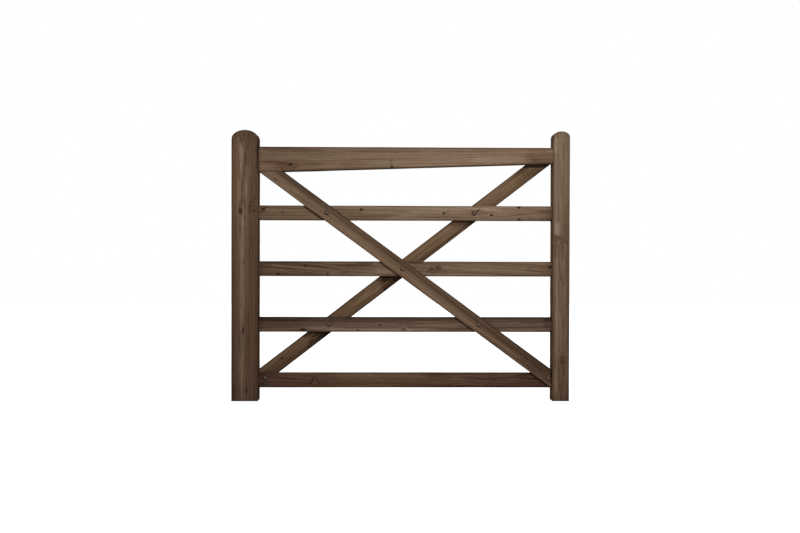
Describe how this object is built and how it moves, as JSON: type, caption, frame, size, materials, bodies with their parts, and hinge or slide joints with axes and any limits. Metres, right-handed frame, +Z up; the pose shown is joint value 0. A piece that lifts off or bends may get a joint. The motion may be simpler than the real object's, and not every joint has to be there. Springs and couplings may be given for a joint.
{
  "type": "wooden field gate",
  "caption": "Small braced field gate leaf: dome-topped stiles, tapered top rail, thin tenoned rails and crossed braces bolted to both faces, in brown treated softwood.",
  "frame": {"origin": "on the ground at the middle of the gate's width, on the middle plane of the frame's thickness", "axes": "+X from the hanging stile to the closing stile, +Y from the front to the back, +Z up"},
  "size_m": [1.5, 0.0821, 1.2],
  "materials": {
    "stile_timber": "planed softwood, brown pressure treatment, matt",
    "top_rail_timber": "planed softwood, brown pressure treatment, matt",
    "rail_timber": "planed softwood, brown pressure treatment, matt",
    "brace_timber": "planed softwood, brown pressure treatment, matt",
    "peg_oak": "cleft hardwood, end grain showing at the back",
    "bolt_steel": "zinc-plated steel dulled by the wood stain",
    "nut_steel": "dull zinc-plated steel"
  },
  "bodies": {
    "root": {"bottom_rail": "rail_timber", "centre_bolt": "bolt_steel", "centre_nut": "nut_steel", "centre_washer": "nut_steel", "closing_bottom_rail_peg": "peg_oak", "closing_lower_rail_peg": "peg_oak", "closing_middle_rail_peg": "peg_oak", "closing_stile": "stile_timber", "closing_top_peg": "peg_oak", "closing_upper_rail_peg": "peg_oak", "front_brace": "brace_timber", "front_foot_bolt": "bolt_steel", "front_foot_nut": "nut_steel", "front_foot_washer": "nut_steel", "front_lower_bolt": "bolt_steel", "front_lower_nut": "nut_steel", "front_lower_washer": "nut_steel", "front_upper_bolt": "bolt_steel", "front_upper_nut": "nut_steel", "front_upper_washer": "nut_steel", "hanging_bottom_rail_peg": "peg_oak", "hanging_lower_rail_peg": "peg_oak", "hanging_middle_rail_peg": "peg_oak", "hanging_stile": "stile_timber", "hanging_top_peg_high": "peg_oak", "hanging_top_peg_low": "peg_oak", "hanging_upper_rail_peg": "peg_oak", "lower_rail": "rail_timber", "middle_rail": "rail_timber", "rear_brace": "brace_timber", "rear_foot_bolt": "bolt_steel", "rear_foot_nut": "nut_steel", "rear_foot_washer": "nut_steel", "rear_lower_bolt": "bolt_steel", "rear_lower_nut": "nut_steel", "rear_lower_washer": "nut_steel", "rear_upper_bolt": "bolt_steel", "rear_upper_nut": "nut_steel", "rear_upper_washer": "nut_steel", "top_rail": "top_rail_timber", "upper_rail": "rail_timber"}
  },
  "joints": []
}
